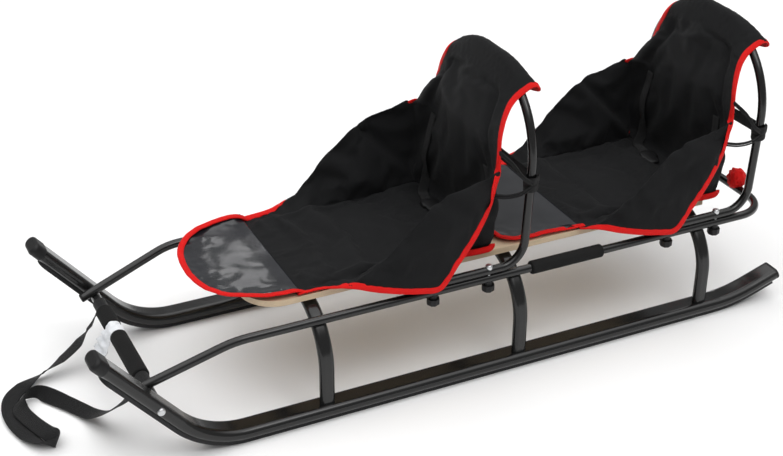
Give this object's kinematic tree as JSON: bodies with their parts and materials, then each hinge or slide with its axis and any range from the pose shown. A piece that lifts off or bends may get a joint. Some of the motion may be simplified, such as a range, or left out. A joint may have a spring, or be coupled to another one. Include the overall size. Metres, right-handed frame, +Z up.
{
  "type": "two-seat sled",
  "caption": "Towed sled on bent tube runners, with a slatted deck, hoop backrests and bucket-shaped fabric seats in line.",
  "frame": {"origin": "on the snow, below the middle of the sled's length and width", "axes": "+X towards the noses, +Y to the sled's left, +Z up"},
  "size_m": [1.296, 0.397, 0.4818],
  "materials": {
    "black_tube": "gloss black enamel on steel tube",
    "black_plastic": "moulded black plastic",
    "zinc_bolt": "zinc plated",
    "foam": "closed-cell foam, matt charcoal",
    "webbing": "woven black webbing",
    "pale_wood": "planed pale wood, unvarnished",
    "white_film": "blank white film",
    "red_cloth": "red binding cloth",
    "black_cloth": "black coated nylon with red bound edges",
    "clear_vinyl": "clear wrinkled vinyl"
  },
  "bodies": {
    "root": {"runner_left": "black_tube", "wear_strip_left": "black_plastic", "nose_cap_left": "black_plastic", "tail_plug_left": "black_plastic", "rail_plug_left": "black_plastic", "crossbar_bolt_left": "zinc_bolt", "crossbar_grip_left": "foam", "side_grip_left": "foam", "strap_anchor_left": "webbing", "runner_right": "black_tube", "wear_strip_right": "black_plastic", "nose_cap_right": "black_plastic", "tail_plug_right": "black_plastic", "rail_plug_right": "black_plastic", "crossbar_bolt_right": "zinc_bolt", "crossbar_grip_right": "foam", "side_grip_right": "foam", "strap_anchor_right": "webbing", "arch_front": "black_tube", "arch_middle": "black_tube", "arch_rear": "black_tube", "slat_1": "pale_wood", "slat_2": "pale_wood", "slat_3": "pale_wood", "slat_4": "pale_wood", "side_rail": "black_tube", "crossbar": "black_tube", "crossbar_tag": "white_film", "rear_ties": "red_cloth", "tow_strap": "webbing", "front_hoop": "black_tube", "front_hoop_bolts": "zinc_bolt", "front_hoop_knobs": "black_plastic", "front_back_strap": "webbing", "front_cover_base": "black_cloth", "front_cover_vinyl": "clear_vinyl", "front_cover_back": "black_cloth", "front_cover_wing_left": "black_cloth", "front_cover_wing_right": "black_cloth", "front_belt": "webbing", "rear_hoop": "black_tube", "rear_hoop_bolts": "zinc_bolt", "rear_hoop_knobs": "black_plastic", "rear_back_strap": "webbing", "rear_cover_base": "black_cloth", "rear_cover_vinyl": "clear_vinyl", "rear_cover_back": "black_cloth", "rear_cover_wing_left": "black_cloth", "rear_cover_wing_right": "black_cloth", "rear_belt": "webbing"}
  },
  "joints": []
}
